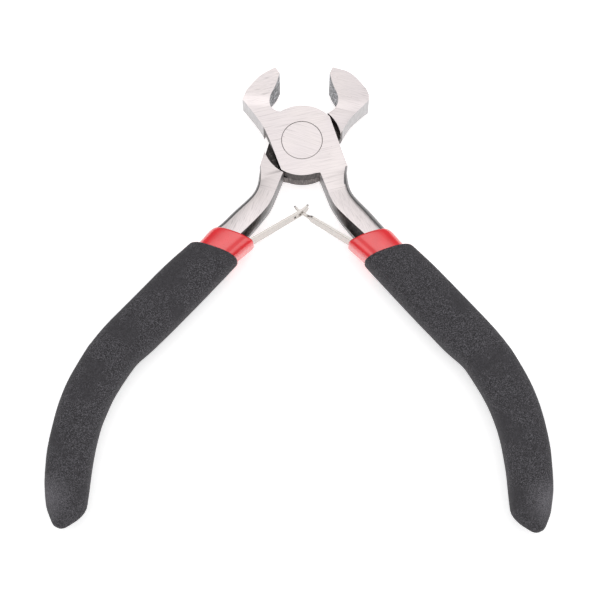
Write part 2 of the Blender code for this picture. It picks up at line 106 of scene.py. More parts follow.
# Where a handle starts and ends, and how the tang runs inside it.
RIM_Y = -25.0
GRIP_Y = -29.9
CORE_END_Y = -84.0
SLEEVE_END_Y = -88.0
HANDLE_ANGLE = 22.3          # degrees, down to where the bow starts
BEND_START = (18.35, -53.4)
BOW_RADIUS = 43.75
BOW_MIDDLE_Y = -70.0         # widest point of the bow
BOW_END_Y = -84.0
CORE_HALF_WIDTH = [(-25.0, 3.28), (-29.6, 2.95), (-40.0, 2.8), (-84.0, 2.1)]
CORE_FACET = 1.35            # width of the bevel on the inner side
CORE_ROUND = 1.6             # width of the round on the outer side
PARTING_HALF = 0.9           # half height of the flat strip on the inner side
OUTER_ROUND_FOOT = 0.8       # height where the round starts

# Leaf strips: from the root at the sleeve's rim, at a heading in degrees, up to the crossing.
LEAF_ROOT = (2.45, -25.1)
LEAF_HEADING = 127.2
LEAF_SPAN = 13.0
FORK_START = 11.4            # distance up the leaf
FORK_SLOT = 0.72             # half width of the slot in the fork
TONGUE = 0.45                # half width of the tongue
# Corners of a strip's end: (distance before the end, distance in from the side).
FORK_TIP = [(0.5, 0.0), (0.15, 0.12), (0.0, 0.45)]
TONGUE_TIP = [(0.3, 0.0), (0.08, 0.12), (0.0, 0.3)]
HOOK_RISE = 24.0             # degrees that the hook curls
HOOK_THINNING = 0.35         # share of the thickness lost at the hook's end
FOOT_PATH = [(5.75, -33.6), (4.35, -30.2), (3.25, -27.4)]
LEAF_LEVELS = (0.0, 2.0, 5.0, 9.0, LEAF_SPAN)
STRIP_CUTS = 54
CUT_TOLERANCE = 1e-4
STRIP_EDGE = 0.00006
STRIP_SHARP = 50.0           # degrees

# Outer skin of a sleeve across its width: (share of the width from the inner side, share of the depth).
SLEEVE_PROFILE = [(0.0, 0.0), (0.0, 0.30), (0.015, 0.52), (0.06, 0.70), (0.12, 0.775), (0.175, 0.80),
                  (0.215, 0.85), (0.27, 0.925), (0.36, 0.975), (0.50, 1.0), (0.64, 0.985), (0.78, 0.93),
                  (0.89, 0.80), (0.96, 0.58), (0.995, 0.28), (1.0, 0.0)]
INNER_CORNER = 0.9           # radii of the rim's corners
OUTER_CORNER = 1.6
CORNER_SHARE = 0.5           # share of a full round left at them
SLEEVE_WALL = 0.95
SLEEVE_GAP = 0.03            # between the steel and the sleeve's bore
BORE_MOUTH = [(0.25, SLEEVE_GAP), (0.04, 0.12)]      # (distance below the rim, gap to the steel)
SLEEVE_CAP = [(0.7, 0.5), (1.0, 1.4)]                # (distance past the end, inset)
# Levels of a sleeve's rings: (first, last, steps).
SLEEVE_BORE = [(CORE_END_Y, -56.0, 14), (BEND_START[1], -26.6, 6)]
SLEEVE_SKIN = [(-25.6, -26.8, 5), (-28.0, BEND_START[1], 15), (-55.0, SLEEVE_END_Y, 16)]
SECTION_POINTS = 31
SOFT_SHARP = 60.0            # degrees
# Down a sleeve, by level: how far its inner side stands off the steel, and its half depth.
SLEEVE_SPARE = [(-25.0, 2.25), (-29.9, 2.05), (-36.0, 1.9), (-44.0, 0.95)]
SLEEVE_HALF_DEPTH = [(-25.0, 3.85), (-29.3, 4.0), (-84.0, 3.9)]
GRIP_ROUNDNESS = 2.5         # superellipse exponent of the sections
BORE_ROUNDNESS = 3.0         # the same for the bore
END_RIDGE = 1.10             # how far the exponent falls, for the ridge down the chiselled end
GRIP_STEPS = 60              # points round a ring
GRIP_GAP = 0.06              # between the sleeve and the grip's bore
GRIP_BORE = [(SLEEVE_END_Y - 1.2, -56.0, 12), (BEND_START[1], GRIP_Y - 0.3, 8)]
LIP_FLARE = (0.30, 0.45)     # how far the lip stands out on the inner and outer sides
# Soft unevenness: (waves per millimetre, share of the height).
SWELLS = [(0.16, 1.0), (0.45, 0.45)]
WORN_AT = (20.3, -91.8, 3.4)                         # on the front of the end
WORN_RADIUS = 5.5
END_START_Y = -87.0          # the chiselled end starts to form here
END_FULL_Y = -93.0           # and is fully formed below this
# Grip down its length: level, inner side, outer side, half depth.
GRIP_STATIONS = [
    (-30.8, 3.42, 14.45, 4.62),
    (-36.0, 5.39, 16.90, 4.7),
    (-44.0, 8.53, 20.20, 4.7),
    (-52.0, 11.78, 23.40, 4.7),
    (-55.0, 13.15, 24.45, 4.7),
    (-57.5, 14.45, 25.15, 4.7),
    (-60.0, 15.25, 25.70, 4.7),
    (-66.0, 16.35, 26.52, 4.7),
    (-71.0, 16.57, 26.60, 4.7),
    (-76.0, 16.20, 26.12, 4.7),
    (-82.0, 14.99, 24.97, 4.7),
    (-88.0, 13.35, 23.05, 4.65),
    (-90.4, 12.72, 22.05, 4.45),
    (-92.0, 12.82, 21.25, 4.05),
    (-93.5, 13.45, 20.35, 3.4),
    (-94.8, 14.35, 19.25, 2.5),
    (-95.9, 15.20, 18.20, 1.5),
    (-96.4, 15.90, 17.45, 0.8),
]

SIDES = {
    "right": {"body": "front_half", "leaf": "right_leaf", "turn": 1.0, "forked": False,
              "face_tone": 1.0, "wall_tone": 0.30, "seed": 0.0},
    "left": {"body": "rear_half", "leaf": "left_leaf", "turn": -1.0, "forked": True,
             "face_tone": 0.89, "wall_tone": 0.55, "seed": 40.0},
}

FLOOR_HALF_SIZE = 1.5
FLOOR_CELLS = 8
FLOOR_GAP = 0.0002           # below the lowest point of the nipper
# Brightness of the surroundings from straight down to straight up.
SKY_STOPS = [(0.0, 0.95), (0.06, 0.40), (0.35, 0.20), (0.62, 0.30), (0.84, 0.80), (0.94, 1.16)]
SKY_STRENGTH = 1.12
# Soft lamps: (name, place, size, energy).
LAMPS = [
    ("overhead", (0.0, 0.05, 0.8), (1.1, 0.9), 1.1),
    ("left_side", (-0.8, -0.1, 0.5), (0.5, 0.5), 0.2),
    ("right_side", (0.8, -0.1, 0.5), (0.5, 0.5), 0.6),
]
LAMP_AIM = (0.0, -0.03, 0.0)
LENS = 115.2
SENSOR_WIDTH = 36.0
CAMERA_AIM = (-0.000119, -0.035554, HALF_THICKNESS * MM)


# ---- sizes and colours that a user would change ----
def length(name, description, default):
    """Property that holds a length in metres."""
    return FloatProperty(name=name, description=description, default=default, subtype="DISTANCE",
                         unit="LENGTH", precision=5)


def colour(name, description, default):
    """Property that holds a colour."""
    return FloatVectorProperty(name=name, description=description, default=default, subtype="COLOR",
                               min=0.0, max=1.0)


def angle(name, description, degrees):
    """Property that holds an angle, with its default in degrees."""
    return FloatProperty(name=name, description=description, default=math.radians(degrees),
                         subtype="ANGLE", unit="ROTATION")


class NipperSteel(bpy.types.PropertyGroup):
    """Ground and forged steel"""

    face: colour("Ground face", "Colour of the ground joint faces", (0.72, 0.662, 0.655))
    flank: colour("Flank", "Colour of the outer walls", (0.47, 0.455, 0.46))
    jaw_wall: colour("Jaw wall", "Colour of the rough walls between the jaws", (0.15, 0.15, 0.158))
    # The lap seats' colour is painted shade of the joint's recess; the cheek and shoulder walls take tones
    # scaled from it.
    seat: colour("Lap seat", "Colour of the dark lap seats", (0.07, 0.062, 0.060))
    facet: colour("Facet", "Colour of the smooth inner facets of the tangs", (0.135, 0.125, 0.125))
    front_lines: angle("Front lines", "Direction of the grinding lines on the front half", 11.0)
    rear_lines: angle("Rear lines", "Direction of the grinding lines on the rear half and rivet", -16.0)
    tang_lines: angle("Tang lines", "Direction of the lines on the left tang; mirrored on the right", 68.0)
    edge: length("Broken edge", "Width of the broken edges", 0.00010)


class NipperSprings(bpy.types.PropertyGroup):
    """Leaf strips"""

    strip: colour("Strip", "Colour of the spring steel", (0.58, 0.545, 0.515))
    thickness: length("Thickness", "Thickness of the strip", 0.00050)
    width: length("Width", "Width of the strip at its foot", 0.0036)
    tip_width: length("Tip width", "Width of the strip at its hook", 0.0028)
    hook: length("Hook", "Length of the hook past the crossing", 0.0021)


class NipperSleeves(bpy.types.PropertyGroup):
    """Dipped inner sleeves"""

    skin: colour("Skin", "Colour of the glossy sleeves", (0.97, 0.014, 0.024))
    wall: length("Wall", "Thickness of the skin over the steel", SLEEVE_WALL * MM)
    rim: length("Rim", "Radius of the rounded rim", 0.00040)


class NipperGrips(bpy.types.PropertyGroup):
    """Soft outer grips"""

    foam: colour("Grip", "Colour of the matte grips", (0.056, 0.053, 0.059))
    speck: colour("Speck", "Colour of the light specks in the grain", (0.185, 0.178, 0.196))
    lip: length("Lip", "Radius of the rounded lip", 0.0006)
    swell: length("Unevenness", "Height of the soft unevenness", 0.00006)


class NipperStage(bpy.types.PropertyGroup):
    """Floor, light and camera"""

    floor: colour("Floor", "Colour of the floor", (0.97, 0.97, 0.97))
    tilt: angle("Tilt", "Camera's tilt away from straight down", 19.2)
    roll: angle("Roll", "Camera's turn about its view", 0.5)
    distance: length("Distance", "Camera to the aimed point", 0.405)


# ---- outlines, rings and meshes ----
def clamp(share):
    """Share held between nothing and one."""
    return min(max(share, 0.0), 1.0)


def interpolate(table, y):
    """Value at a level, from rows of (level, value) that run downwards."""
    for (y0, v0), (y1, v1) in zip(table, table[1:]):
        if y >= y1:
            share = clamp((y0 - y) / (y0 - y1))
            return v0 + share * (v1 - v0)
    return table[-1][1]


def curve_through(points, steps):
    """Smooth curve through the points, ends included."""
    first = [2 * a - b for a, b in zip(points[0], points[1])]
    last = [2 * a - b for a, b in zip(points[-1], points[-2])]
    knots = [first, *points, last]
    curve = []
    for p0, p1, p2, p3 in zip(knots, knots[1:], knots[2:], knots[3:]):
        for k in range(steps):
            t = k / steps
            curve.append(tuple(
                0.5 * (2 * b + (c - a) * t + (2 * a - 5 * b + 4 * c - d) * t * t
                       + (3 * b - a - 3 * c + d) * t ** 3)
                for a, b, c, d in zip(p0, p1, p2, p3)))
    curve.append(tuple(points[-1]))
    return curve


def resample(points, count):
    """Points at even distances along an open line."""
    lengths = [0.0]
    for a, b in zip(points, points[1:]):
        lengths.append(lengths[-1] + math.dist(a, b))
    result = []
    k = 0
    for i in range(count):
        target = lengths[-1] * i / (count - 1)
        while k < len(points) - 2 and lengths[k + 1] < target:
            k += 1
        share = (target - lengths[k]) / max(lengths[k + 1] - lengths[k], 1e-9)
        result.append(tuple(a + share * (b - a) for a, b in zip(points[k], points[k + 1])))
    return result


def levels(start, end, steps):
    """Even steps from start to end, both included."""
    return [start + (end - start) * k / steps for k in range(steps + 1)]


def all_levels(spans):
    """The levels of several (start, end, steps) spans in turn."""
    return [y for span in spans for y in levels(*span)]


def quarter_turn(steps):
    """Angles from nothing to a right angle."""
    return [math.radians(90.0 * k / steps) for k in range(steps + 1)]


def centre_x(y):
    """Middle of the tang inside the handle: straight, bowed, and straight again."""
    if y >= BEND_START[1]:
        return BEND_START[0] + (BEND_START[1] - y) * math.tan(math.radians(HANDLE_ANGLE))
    rise = BEND_START[1] - BOW_MIDDLE_Y
    bow_x = BEND_START[0] - math.sqrt(BOW_RADIUS ** 2 - rise ** 2)
    if y >= BOW_END_Y:
        return bow_x + math.sqrt(BOW_RADIUS ** 2 - (y - BOW_MIDDLE_Y) ** 2)
    drop = BOW_END_Y - BOW_MIDDLE_Y
    run = math.sqrt(BOW_RADIUS ** 2 - drop ** 2)
    return bow_x + run + (y - BOW_END_Y) * -drop / run


def half_matrix(side):
    """Closed half in millimetres to the row frame in metres."""
    turn = SIDES[side]["turn"]
    matrix = Matrix.Rotation(math.radians(HALF_OPENING * turn), 4, "Z")
    if turn < 0:
        matrix = matrix @ Matrix.Rotation(math.pi, 4, "Y")
    lift = Matrix.Translation((0.0, 0.0, HALF_THICKNESS))
    return Matrix.Scale(MM, 4) @ lift @ matrix


def loft(rings):
    """Closed skin over rings of equal count, with a face at each end."""
    data = bmesh.new()
    rows = [[data.verts.new(p) for p in ring] for ring in rings]
    count = len(rows[0])
    for row, following in zip(rows, rows[1:]):
        for k in range(count):
            n = (k + 1) % count
            data.faces.new((row[k], row[n], following[n], following[k]))
    data.faces.new(rows[0])
    data.faces.new(rows[-1])
    return data


def finish_piece(name, data, materials, matrix, sharp=35.0):
    """Named object in the row frame from a bmesh, with its materials."""
    bmesh.ops.transform(data, matrix=matrix, verts=data.verts)
    bmesh.ops.recalc_face_normals(data, faces=data.faces)
    if data.calc_volume(signed=True) < 0:
        bmesh.ops.reverse_faces(data, faces=data.faces)
    mesh = bpy.data.meshes.new(name)
    data.to_mesh(mesh)
    data.free()
    for material in materials:
        mesh.materials.append(material)
    mesh.shade_smooth()
    mesh.set_sharp_from_angle(angle=math.radians(sharp))
    obj = bpy.data.objects.new(name, mesh)
    bpy.context.scene.collection.objects.link(obj)
    return obj


def add_bevel(obj, width, limit):
    """Broken edges, where faces meet at more than a limit in degrees."""
    bevel = obj.modifiers.new("broken edges", "BEVEL")
    bevel.width = width
    bevel.segments = 2
    bevel.limit_method = "ANGLE"
    bevel.angle_limit = math.radians(limit)


# ---- material building blocks ----
class Finish:
    """A material under construction: its tree, its shader, and the coordinates that its grains use."""

    def __init__(self, name, roughness, metallic=0.0):
        self.material = bpy.data.materials.new(name)
        self.material.use_nodes = True
        self.tree = self.material.node_tree
        self.shader = self.tree.nodes["Principled BSDF"]
        self.shader.inputs["Roughness"].default_value = roughness
        self.shader.inputs["Metallic"].default_value = metallic
        place = self.tree.nodes.new("ShaderNodeTexCoord")
        self.place = place.outputs["Object"]

    def link(self, source, target):
        """Join an output socket to an input socket."""
        self.tree.links.new(source, target)

    def grain(self, scale, turn=0.0, detail=3.0, roughness=0.55):
        """Noise stretched by three scales per millimetre, turned about the pivot's direction."""
        mapping = self.tree.nodes.new("ShaderNodeMapping")
        mapping.vector_type = "TEXTURE"
        mapping.inputs["Rotation"].default_value = (0.0, 0.0, turn)
        mapping.inputs["Scale"].default_value = [MM / s for s in scale]
        self.link(self.place, mapping.inputs["Vector"])
        texture = self.tree.nodes.new("ShaderNodeTexNoise")
        texture.inputs["Scale"].default_value = 1.0
        texture.inputs["Detail"].default_value = detail
        texture.inputs["Roughness"].default_value = roughness
        self.link(mapping.outputs["Vector"], texture.inputs["Vector"])
        return texture.outputs["Fac"]

    def ramp(self, source, stops):
        """Colour from a value, by stops of (position, tone)."""
        node = self.tree.nodes.new("ShaderNodeValToRGB")
        elements = node.color_ramp.elements
        while len(elements) < len(stops):
            elements.new(0.5)
        for element, (position, tone) in zip(elements, stops):
            element.position = position
            element.color = (*tone, 1.0)
        self.link(source, node.inputs["Fac"])
        return node.outputs["Color"]

    def spread(self, source, low, high, start=0.3, end=0.7):
        """Value from low to high as the source goes from start to end."""
        node = self.tree.nodes.new("ShaderNodeMapRange")
        node.inputs["From Min"].default_value = start
        node.inputs["From Max"].default_value = end
        node.inputs["To Min"].default_value = low
        node.inputs["To Max"].default_value = high
        self.link(source, node.inputs["Value"])
        return node.outputs["Result"]

    def near(self, point, radius, strength):
        """Value at its strength within a fifth of a radius in millimetres, and nothing past the radius."""
        measure = self.tree.nodes.new("ShaderNodeVectorMath")
        measure.operation = "DISTANCE"
        measure.inputs[1].default_value = point
        self.link(self.place, measure.inputs[0])
        return self.spread(measure.outputs["Value"], strength, 0.0, 0.2 * radius * MM, radius * MM)

    def mix(self, blend, factor, first, second):
        """Two colours mixed by a number or by a mask."""
        node = self.tree.nodes.new("ShaderNodeMix")
        node.data_type = "RGBA"
        node.blend_type = blend
        if isinstance(factor, float):
            node.inputs["Factor"].default_value = factor
        else:
            self.link(factor, node.inputs["Factor"])
        self.link(first, node.inputs["A"])
        self.link(second, node.inputs["B"])
        return node.outputs["Result"]

    def bumps(self, *layers):
        """Bump layers, each (height source, depth in millimetres)."""
        normal = None
        for height, depth in layers:
            node = self.tree.nodes.new("ShaderNodeBump")
            node.inputs["Distance"].default_value = depth * MM
            node.inputs["Strength"].default_value = 1.0
            self.link(height, node.inputs["Height"])
            if normal is not None:
                self.link(normal, node.inputs["Normal"])
            normal = node.outputs["Normal"]
        self.link(normal, self.shader.inputs["Normal"])

    def base(self, source):
        """Colour of the finish."""
        self.link(source, self.shader.inputs["Base Color"])

    def rough(self, source):
        """Roughness of the finish."""
        self.link(source, self.shader.inputs["Roughness"])


def shade(tone, factor):
    """Lighter or darker tone, no lighter than white."""
    return tuple(min(c * factor, 1.0) for c in tone)


def ground_finish(name, tone, lines, contrast=0.06, run=0.14):
    """Surface-ground steel: long fine lines in one direction, a few deeper ones, and small dark flecks."""
    finish = Finish(name, 0.36, 1.0)
    fine = finish.grain((run, 5.0, 5.0), lines, 3.0, 0.7)
    deep = finish.grain((0.8 * run, 3.2, 3.2), lines + math.radians(4.0), 2.0)
    fleck = finish.grain((1.3, 2.6, 2.6), lines, 4.0, 0.6)
    cloud = finish.grain((0.12, 0.12, 0.12), 0.0, 2.0)
    fine_tone = finish.ramp(fine, [(0.34, shade(tone, 1.0 - 2.0 * contrast)), (0.50, tone),
                                   (0.66, shade(tone, 1.0 + 1.2 * contrast))])
    deep_tone = finish.ramp(deep, [(0.30, shade((1, 1, 1), 1.0 - 3.0 * contrast)), (0.42, (1, 1, 1))])
    fleck_tone = finish.ramp(fleck, [(0.24, (0.5, 0.48, 0.47)), (0.31, (1, 1, 1))])
    cloud_tone = finish.ramp(cloud, [(0.35, (0.96, 0.96, 0.975)), (0.65, (1, 1, 1))])
    lined = finish.mix("MULTIPLY", 1.0, fine_tone, deep_tone)
    flecked = finish.mix("MULTIPLY", 1.0, lined, fleck_tone)
    finish.base(finish.mix("MULTIPLY", 1.0, flecked, cloud_tone))
    finish.rough(finish.spread(fine, 0.32, 0.42))
    finish.bumps((fine, 0.004), (deep, 0.005))
    return finish.material


def flank_finish(name, tone):
    """Satin outer walls: fine blasted grain with faint streaks across."""
    finish = Finish(name, 0.34, 1.0)
    grain = finish.grain((6.0, 6.0, 6.0), 0.0, 3.0)
    streak = finish.grain((2.4, 2.4, 0.35), 0.0, 2.0)
    finish.base(finish.ramp(streak, [(0.3, shade(tone, 0.86)), (0.7, shade(tone, 1.12))]))
    finish.rough(finish.spread(grain, 0.28, 0.42))
    finish.bumps((grain, 0.01), (streak, 0.012))
    return finish.material


def jaw_wall_finish(tone):
    """Rough walls between the jaws: dark, pitted, with short bright scratches."""
    finish = Finish("rough_jaw_wall", 0.42, 1.0)
    pits = finish.grain((1.5, 1.5, 1.5), 0.0, 4.0, 0.65)
    scratch = finish.grain((0.5, 2.6, 1.6), math.radians(48.0), 3.0)
    dark = finish.ramp(pits, [(0.41, shade(tone, 0.10)), (0.5, tone), (0.62, shade(tone, 2.2))])
    bright = finish.ramp(scratch, [(0.54, (0.0, 0.0, 0.0)), (0.63, shade(tone, 3.0))])
    finish.base(finish.mix("ADD", 1.0, dark, bright))
    finish.rough(finish.spread(pits, 0.34, 0.58))
    finish.bumps((pits, 0.14), (scratch, 0.08))
    return finish.material


def shaded_seat_finish(tone):
    """Lap seats down in the joint's recess: painted shade, nearly black, with rough streaks round the cheek.
    """
    finish = Finish("shaded_lap_seat", 0.5, 0.85)
    streak = finish.grain((2.0, 2.0, 6.0), 0.0, 3.0)
    finish.base(finish.ramp(streak, [(0.4, shade(tone, 0.5)), (0.58, tone), (0.74, shade(tone, 3.4))]))
    finish.rough(finish.spread(streak, 0.42, 0.62))
    finish.bumps((streak, 0.03))
    return finish.material


def wall_finish(name, tone):
    """Bare forged walls of the cheeks: mid grey with rough streaks across the thickness."""
    finish = Finish(name, 0.46, 1.0)
    streak = finish.grain((3.2, 3.2, 0.5), 0.0, 3.0)
    finish.base(finish.ramp(streak, [(0.36, shade(tone, 2.0)), (0.52, shade(tone, 4.4)),
                                     (0.70, shade(tone, 8.0))]))
    finish.rough(finish.spread(streak, 0.38, 0.56))
    finish.bumps((streak, 0.03))
    return finish.material


def facet_finish(tone):
    """Smooth dark facet down the inner side of a tang."""
    finish = Finish("dark_facet", 0.3, 0.9)
    grain = finish.grain((1.6, 1.6, 1.6), 0.0, 2.0)
    finish.base(finish.ramp(grain, [(0.35, shade(tone, 0.8)), (0.65, shade(tone, 1.25))]))
    finish.rough(finish.spread(grain, 0.26, 0.36))
    finish.bumps((grain, 0.008))
    return finish.material


def parting_finish(tone):
    """Trimmed flash along the forging's parting line: torn, speckled grey."""
    finish = Finish("trimmed_parting", 0.4, 1.0)
    torn = finish.grain((3.2, 3.2, 1.6), 0.0, 4.0, 0.7)
    finish.base(finish.ramp(torn, [(0.39, shade(tone, 0.28)), (0.5, shade(tone, 0.8)),
                                   (0.61, shade(tone, 1.4))]))
    finish.rough(finish.spread(torn, 0.3, 0.5))
    finish.bumps((torn, 0.07))
    return finish.material


def strip_finish(tone):
    """Rolled spring steel, streaked along its length and faintly grained."""
    finish = Finish("spring_strip", 0.3, 1.0)
    roll = finish.grain((5.0, 5.0, 0.6), 0.0, 2.0)
    finish.base(finish.ramp(roll, [(0.3, shade(tone, 0.9)), (0.7, shade(tone, 1.1))]))
    finish.rough(finish.spread(roll, 0.24, 0.36))
    finish.bumps((roll, 0.006))
    return finish.material


def vinyl_finish(tone):
    """Glossy dipped vinyl with a soft waviness and faint dust."""
    finish = Finish("dipped_vinyl", 0.30)
    finish.shader.inputs["Specular IOR Level"].default_value = 0.2
    finish.shader.inputs["Coat Weight"].default_value = 1.0
    finish.shader.inputs["Coat Roughness"].default_value = 0.12
    finish.shader.inputs["Coat IOR"].default_value = 1.85
    wave = finish.grain((0.30, 0.30, 0.30), 0.0, 1.0)
    dust = finish.grain((5.0, 5.0, 5.0), 0.0, 2.0)
    finish.base(finish.ramp(wave, [(0.3, shade(tone, 0.9)), (0.7, shade(tone, 1.12))]))
    finish.rough(finish.spread(dust, 0.26, 0.34))
    finish.bumps((wave, 0.06))
    return finish.material


def foam_finish(name, tone, speck, worn_at):
    """Matte grip: a fine closed grain, smoother rubbed patches, and a paler worn end."""
    finish = Finish(name, 0.82)
    finish.shader.inputs["Specular IOR Level"].default_value = 0.35
    fine = finish.grain((4.6, 4.6, 4.6), 0.0, 3.0, 0.65)
    coarse = finish.grain((1.7, 1.7, 1.7), 0.0, 3.0)
    patch = finish.grain((0.13, 0.13, 0.13), 0.0, 3.0)
    grainy = finish.ramp(fine, [(0.35, shade(tone, 0.34)), (0.50, tone), (0.66, speck)])
    rubbed = finish.ramp(fine, [(0.35, shade(tone, 0.80)), (0.66, shade(tone, 1.25))])
    clumps = finish.ramp(coarse, [(0.36, (0.80, 0.80, 0.80)), (0.60, (1.0, 1.0, 1.0))])
    rub = finish.spread(patch, 0.0, 0.85, 0.50, 0.62)
    skin = finish.mix("MULTIPLY", 1.0, finish.mix("MIX", rub, grainy, rubbed), clumps)
    pale = finish.ramp(fine, [(0.35, shade(tone, 1.1)), (0.66, shade(speck, 1.25))])
    finish.base(finish.mix("MIX", finish.near(worn_at, WORN_RADIUS, 0.75), skin, pale))
    finish.rough(finish.spread(fine, 0.74, 0.92))
    finish.bumps((fine, 0.06), (coarse, 0.08))
    return finish.material


def floor_finish(tone):
    """Pale paper floor that glows a little, so that it stays white round the nipper."""
    finish = Finish("pale_floor", 0.6)
    paper = finish.grain((0.8, 0.8, 0.8), 0.0, 2.0)
    finish.base(finish.ramp(paper, [(0.0, shade(tone, 0.995)), (1.0, tone)]))
    finish.shader.inputs["Emission Color"].default_value = (1.0, 1.0, 1.0, 1.0)
    finish.shader.inputs["Emission Strength"].default_value = 0.5
    return finish.material


# ---- pieces ----
def region_of(centre, normal):
    """Finish of a face of a half, from where it lies and faces in the closed half's frame."""
    flatness = abs(normal.z)
    reach = math.hypot(centre.x, centre.y)
    on_tang = centre.y <= TANG_START
    # Lap seats take the painted shade of the joint's recess.
    if flatness > SEAT_FLATNESS and abs(centre.z) < SEAT_HEIGHT and not on_tang:
        return "seat"
    if flatness > (TANG_FACE_FLATNESS if on_tang else FACE_FLATNESS):
        return "face" if centre.y > TANG_FACE_START else "tang_face"
    faces_pivot = normal.x * centre.x + normal.y * centre.y < 0 and flatness < SHOULDER_FLATNESS
    if faces_pivot and reach < LAP_RADIUS + SHOULDER_SPARE and centre.y < SHOULDER_TOP:
        return "shoulder"
    if reach < LAP_RADIUS + CHEEK_SPARE and centre.y < JAW_START:
        return "wall" if centre.z > 0 or centre.y < 0 else "seat"
    if centre.y > JAW_START:
        between_jaws = normal.x > JAW_WALL_LEAN and JAW_WALL_SPAN[0] < centre.x < JAW_WALL_SPAN[1]
        return "jaw_wall" if between_jaws else "flank"
    if on_tang and normal.x < TANG_INSIDE_LEAN:
        return "parting" if flatness < PARTING_FLATNESS else "facet"
    # The tang's outer walls take a painted reflection, darker than the flanks.
    return "shaded_tang_side" if on_tang else "flank"


def steel_half(side, settings):
    """Refined copy of one forged half, with a finish for each way that its steel is worked."""
    traits = SIDES[side]
    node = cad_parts[traits["body"]]
    lines = settings.front_lines if side == "right" else settings.rear_lines
    tang_lines = settings.tang_lines * -traits["turn"]
    tang_tone = shade(settings.face, 0.92)
    finishes = {
        "face": ground_finish(f"ground_face_{side}", shade(settings.face, traits["face_tone"]), lines),
        "tang_face": ground_finish(f"tang_face_{side}", tang_tone, tang_lines, contrast=0.07, run=0.45),
        "flank": flank_finish("satin_flank", settings.flank),
        # Painted reflection: the tang's rounded outer wall, darkened to the dark band that it reflects.
        "shaded_tang_side": flank_finish("shaded_tang_side", shade(settings.flank, 0.55)),
        "jaw_wall": jaw_wall_finish(settings.jaw_wall),
        # Painted shade: the lap seats down in the joint's recess, nearly black.
        "seat": shaded_seat_finish(settings.seat),
        "wall": wall_finish(f"cheek_wall_{side}", shade(settings.seat, traits["wall_tone"])),
        "shoulder": wall_finish("shoulder_wall", shade(settings.seat, 1.2)),
        "facet": facet_finish(settings.facet),
        "parting": parting_finish(shade(settings.flank, 0.72)),
    }
    place = half_matrix(side)
    to_half = place.inverted()
    turn = to_half.to_3x3().normalized()
    data = bmesh.new()
    data.from_mesh(node.data)
    bmesh.ops.remove_doubles(data, verts=data.verts, dist=WELD)
    bmesh.ops.dissolve_limit(data, angle_limit=math.radians(COPLANAR), verts=data.verts, edges=data.edges)
    # The faces are cut across where the lines on them change direction.
    along = (place.to_3x3() @ Vector((0.0, 1.0, 0.0))).normalized()
    bmesh.ops.bisect_plane(data, geom=[*data.verts, *data.edges, *data.faces], dist=WELD,
                           plane_co=place @ Vector((0.0, TANG_FACE_START, 0.0)), plane_no=along)
    order = list(finishes)
    for face in data.faces:
        centre = to_half @ face.calc_center_median()
        normal = (turn @ face.normal).normalized()
        face.material_index = order.index(region_of(centre, normal))
    name = f"{node.name}_steel"
    obj = finish_piece(name, data, finishes.values(), Matrix.Identity(4))
    add_bevel(obj, settings.edge, STEEL_BEVEL_LIMIT)
    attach(obj, SIDES[side]["body"])
    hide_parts(node.name)


class NIPPER_OT_halves(bpy.types.Operator):
    """Make the two forged halves with their ground, rough and dark finishes"""

    bl_idname = "nipper.halves"
    bl_label = "Steel halves"

    def execute(self, context):
        for side in SIDES:
            steel_half(side, context.scene.nipper_steel)
        return {"FINISHED"}


class NIPPER_OT_rivets(bpy.types.Operator):
    """Finish the flush pivot rivet and the small spring rivets"""

    bl_idname = "nipper.rivets"
    bl_label = "Rivets"

    def execute(self, context):
        steel = context.scene.nipper_steel
        tone = shade(steel.face, 1.01)
        material = ground_finish("ground_rivet", tone, steel.rear_lines - math.radians(4.0))
        for name in ("pivot_rivet", "right_spring_rivet", "left_spring_rivet"):
            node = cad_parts[name]
            for slot in node.material_slots:
                slot.material = material
        return {"FINISHED"}


def strip_path():
    """Middle line of a strip: clamped foot, bend, and straight leaf up to the crossing."""
    direction = Vector((math.cos(math.radians(LEAF_HEADING)), math.sin(math.radians(LEAF_HEADING))))
    root = Vector(LEAF_ROOT)
    leaf = [tuple(root + direction * reach) for reach in LEAF_LEVELS]
    return curve_through([*FOOT_PATH, *leaf], 8)


def strip_outline(start, end, settings, forked):
    """Flat strip, length along X from its foot and width along Y; start is the root and end the tip."""
    root = settings.width / MM / 2
    tip = settings.tip_width / MM / 2
    fork = start + FORK_START
    neck = root + (tip - root) * FORK_START / LEAF_SPAN
    half = [(0.0, root), (start, root)]
    if forked:
        half.append((fork, neck))
        half += [(end - before, tip - inward) for before, inward in FORK_TIP]
        half += [(end, FORK_SLOT), (fork, FORK_SLOT), (fork - FORK_SLOT / 2, FORK_SLOT / 2)]
    else:
        # The shoulders narrow in a soft curve to the tongue.
        half += [(fork - 1.3, neck), (fork - 0.9, neck - 0.18), (fork - 0.3, TONGUE + 0.12),
                 (fork + 0.1, TONGUE)]
        half += [(end - before, TONGUE - inward) for before, inward in TONGUE_TIP]
    return [(x, -y) for x, y in half] + [(x, y) for x, y in reversed(half)]


def bend_strip(data, path, hook, hook_rise):
    """Stand the flat strip on edge along its path, and curl the hook at its end."""
    reach = [0.0]
    for a, b in zip(path, path[1:]):
        reach.append(reach[-1] + math.dist(a, b))
    radius = hook / hook_rise
    for vertex in data.verts:
        along, across, lift = vertex.co
        k = 0
        while k < len(path) - 2 and reach[k + 1] < along:
            k += 1
        a, b = Vector(path[k]), Vector(path[k + 1])
        direction = (b - a).normalized()
        normal = Vector((-direction.y, direction.x))
        past = along - reach[-1]
        if past <= 0:
            middle = a + direction * (along - reach[k])
            out = normal
        else:
            turn = past / radius
            middle = b + direction * radius * math.sin(turn) - normal * radius * (1 - math.cos(turn))
            out = direction * math.sin(turn) + normal * math.cos(turn)
        thinning = 1.0 - HOOK_THINNING * clamp(past / hook)
        place = middle + out * lift * thinning
        vertex.co = (place.x, place.y, across)


